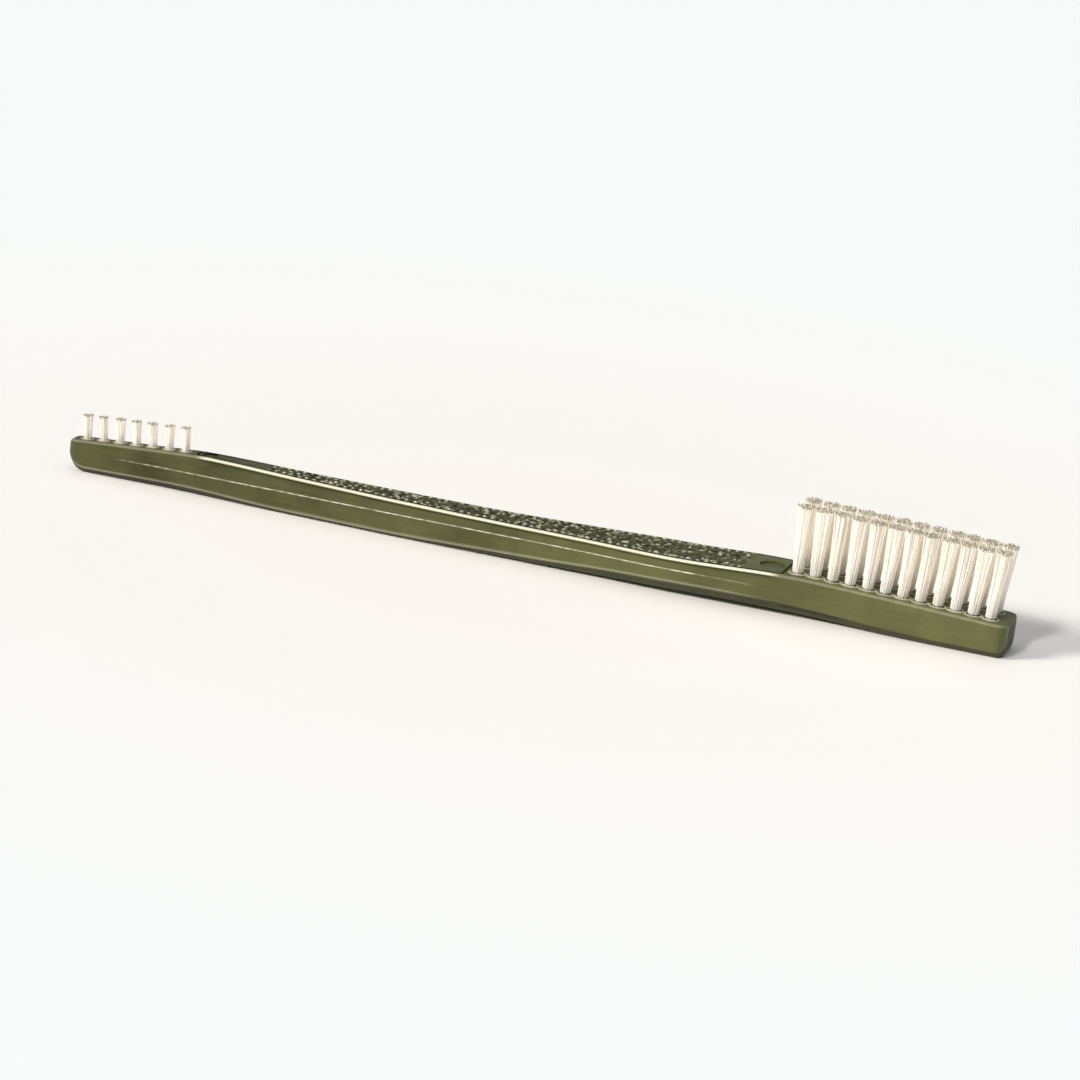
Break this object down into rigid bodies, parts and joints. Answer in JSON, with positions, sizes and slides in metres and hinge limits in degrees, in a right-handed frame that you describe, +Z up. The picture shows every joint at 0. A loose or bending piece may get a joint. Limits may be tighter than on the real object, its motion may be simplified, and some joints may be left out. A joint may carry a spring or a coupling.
{
  "type": "double-ended cleaning brush",
  "caption": "Slim moulded plastic hand brush with a wide head of tall nylon tufts at one end and a narrow head of short tufts at the other, for scrubbing small parts on a workbench.",
  "frame": {"origin": "centre of the bounding box in plan, on the surface the handle rests on", "axes": "+X along the handle towards the wide head, +Y across the handle, +Z up, the way the tufts stand"},
  "size_m": [0.1778, 0.0128, 0.0202],
  "materials": {
    "olive_plastic": "injection-moulded olive drab plastic, satin sides and a pebbled grip panel",
    "natural_nylon": "natural translucent nylon filament, level trimmed",
    "anchor_brass": "flat drawn wire, hidden in the holes"
  },
  "bodies": {
    "root": {"handle": "olive_plastic", "wide_tuft_a_01": "natural_nylon", "wide_tuft_a_02": "natural_nylon", "wide_tuft_a_03": "natural_nylon", "wide_tuft_a_04": "natural_nylon", "wide_tuft_a_05": "natural_nylon", "wide_tuft_a_06": "natural_nylon", "wide_tuft_a_07": "natural_nylon", "wide_tuft_a_08": "natural_nylon", "wide_tuft_a_09": "natural_nylon", "wide_tuft_a_10": "natural_nylon", "wide_tuft_a_11": "natural_nylon", "wide_tuft_a_12": "natural_nylon", "wide_tuft_b_01": "natural_nylon", "wide_tuft_b_02": "natural_nylon", "wide_tuft_b_03": "natural_nylon", "wide_tuft_b_04": "natural_nylon", "wide_tuft_b_05": "natural_nylon", "wide_tuft_b_06": "natural_nylon", "wide_tuft_b_07": "natural_nylon", "wide_tuft_b_08": "natural_nylon", "wide_tuft_b_09": "natural_nylon", "wide_tuft_b_10": "natural_nylon", "wide_tuft_b_11": "natural_nylon", "wide_tuft_b_12": "natural_nylon", "narrow_tuft_01": "natural_nylon", "narrow_tuft_02": "natural_nylon", "narrow_tuft_03": "natural_nylon", "narrow_tuft_04": "natural_nylon", "narrow_tuft_05": "natural_nylon", "narrow_tuft_06": "natural_nylon", "narrow_tuft_07": "natural_nylon", "wide_anchor_a_01": "anchor_brass", "wide_anchor_a_02": "anchor_brass", "wide_anchor_a_03": "anchor_brass", "wide_anchor_a_04": "anchor_brass", "wide_anchor_a_05": "anchor_brass", "wide_anchor_a_06": "anchor_brass", "wide_anchor_a_07": "anchor_brass", "wide_anchor_a_08": "anchor_brass", "wide_anchor_a_09": "anchor_brass", "wide_anchor_a_10": "anchor_brass", "wide_anchor_a_11": "anchor_brass", "wide_anchor_a_12": "anchor_brass", "wide_anchor_b_01": "anchor_brass", "wide_anchor_b_02": "anchor_brass", "wide_anchor_b_03": "anchor_brass", "wide_anchor_b_04": "anchor_brass", "wide_anchor_b_05": "anchor_brass", "wide_anchor_b_06": "anchor_brass", "wide_anchor_b_07": "anchor_brass", "wide_anchor_b_08": "anchor_brass", "wide_anchor_b_09": "anchor_brass", "wide_anchor_b_10": "anchor_brass", "wide_anchor_b_11": "anchor_brass", "wide_anchor_b_12": "anchor_brass"}
  },
  "joints": []
}
